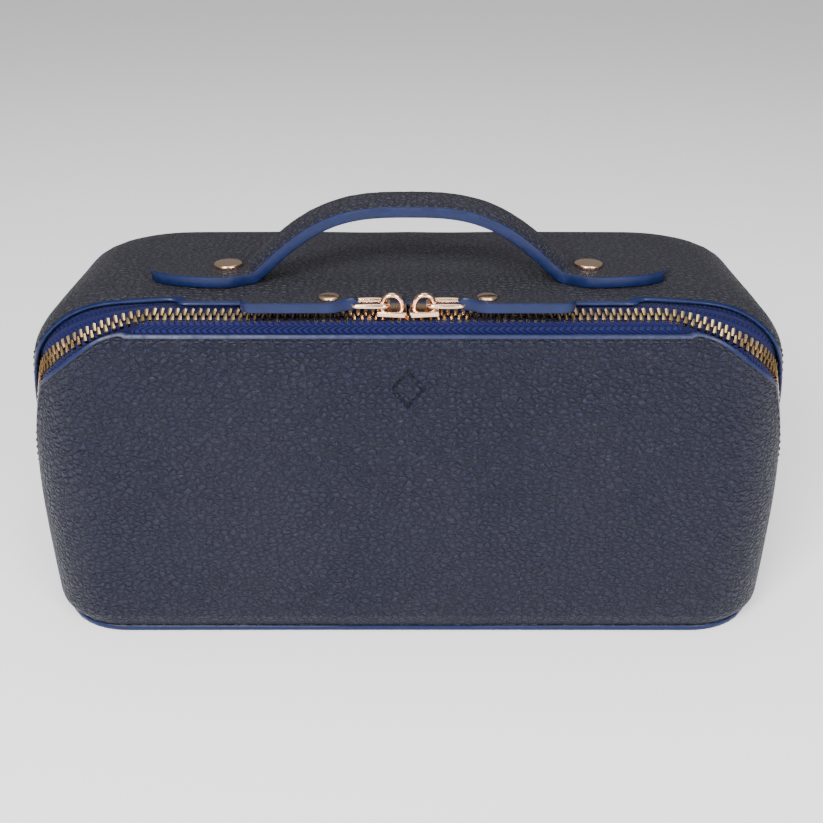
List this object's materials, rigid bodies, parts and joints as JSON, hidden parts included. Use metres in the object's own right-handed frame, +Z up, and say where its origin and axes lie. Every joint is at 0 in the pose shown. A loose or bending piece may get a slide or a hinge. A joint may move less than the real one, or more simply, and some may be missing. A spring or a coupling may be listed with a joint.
{
  "type": "jewellery case",
  "caption": "Zip-round leather jewellery case with a fold-back lid, padded strap handle, two pull tabs, ring rolls and divided bays.",
  "frame": {"origin": "centre of the base panel's underside, on the surface that the case stands on", "axes": "+X to the right along the long side, +Y to the back where the lid folds, +Z up"},
  "size_m": [0.2642, 0.1196, 0.1514],
  "materials": {
    "case_leather": "pebbled grain, satin",
    "strap_leather": "fine grain leather with glossy painted edge",
    "board": "stiffening board and foam",
    "suede": "brushed microsuede",
    "elastic": "gathered elastic",
    "zip_tape": "herringbone woven tape",
    "zip_metal": "pale gold teeth",
    "rose_metal": "polished light rose gold"
  },
  "bodies": {
    "case": {"base_panel": "case_leather", "base_board": "board", "base_lining_pad": "suede", "case_leather": "case_leather", "case_stiffener": "board", "case_lining": "suede", "zip_tape_case": "zip_tape", "zip_teeth_case": "zip_metal", "zip_stop_left": "zip_metal", "zip_stop_right": "zip_metal", "zip_end_patch_left": "case_leather", "zip_end_patch_right": "case_leather", "back_hinge_fold": "case_leather", "jewellery_tray": "suede", "ring_bay_wall": "suede", "long_divider": "suede", "cross_divider_front": "suede", "cross_divider_back": "suede", "ring_roll_1": "suede", "ring_roll_2": "suede", "ring_roll_3": "suede", "ring_roll_4": "suede", "ring_roll_5": "suede"},
    "lid": {"lid_leather": "case_leather", "lid_stiffener": "board", "lid_lining": "suede", "lid_pocket": "suede", "pocket_elastic": "elastic", "zip_tape_lid": "zip_tape", "zip_teeth_lid": "zip_metal", "handle_under_leather": "strap_leather", "handle_core": "board", "handle_top_leather": "strap_leather", "handle_rivet_left": "rose_metal", "handle_rivet_right": "rose_metal", "rivet_washer_left": "rose_metal", "rivet_washer_right": "rose_metal"},
    "left_slider": {"slider_left": "rose_metal"},
    "left_link": {"pull_link_left": "rose_metal"},
    "left_tab": {"pull_tab_left": "strap_leather", "pull_rivet_left": "rose_metal"},
    "right_slider": {"slider_right": "rose_metal"},
    "right_link": {"pull_link_right": "rose_metal"},
    "right_tab": {"pull_tab_right": "strap_leather", "pull_rivet_right": "rose_metal"}
  },
  "joints": [
    {"name": "lid_hinge", "type": "hinge", "parent": "case", "child": "lid", "pos_m": [0, 0.05813, 0.031], "axis": [-1, 0, 0], "range_deg": [0, 105]},
    {"name": "left_slider_slide", "type": "slide", "parent": "case", "child": "left_slider", "axis": [-1, 0, 0], "range_m": [0, 0.07]},
    {"name": "left_link_swing", "type": "hinge", "parent": "left_slider", "child": "left_link", "pos_m": [-0.0062, -0.05, 0.1224], "axis": [0, 1, 0], "range_deg": [0, 95]},
    {"name": "left_tab_swing", "type": "hinge", "parent": "left_link", "child": "left_tab", "pos_m": [-0.0182, -0.05, 0.1224], "axis": [0, 1, 0], "range_deg": [0, 75]},
    {"name": "right_slider_slide", "type": "slide", "parent": "case", "child": "right_slider", "axis": [1, 0, 0], "range_m": [0, 0.07]},
    {"name": "right_link_swing", "type": "hinge", "parent": "right_slider", "child": "right_link", "pos_m": [0.0062, -0.05, 0.1224], "axis": [0, -1, 0], "range_deg": [0, 95]},
    {"name": "right_tab_swing", "type": "hinge", "parent": "right_link", "child": "right_tab", "pos_m": [0.0182, -0.05, 0.1224], "axis": [0, -1, 0], "range_deg": [0, 75]}
  ]
}
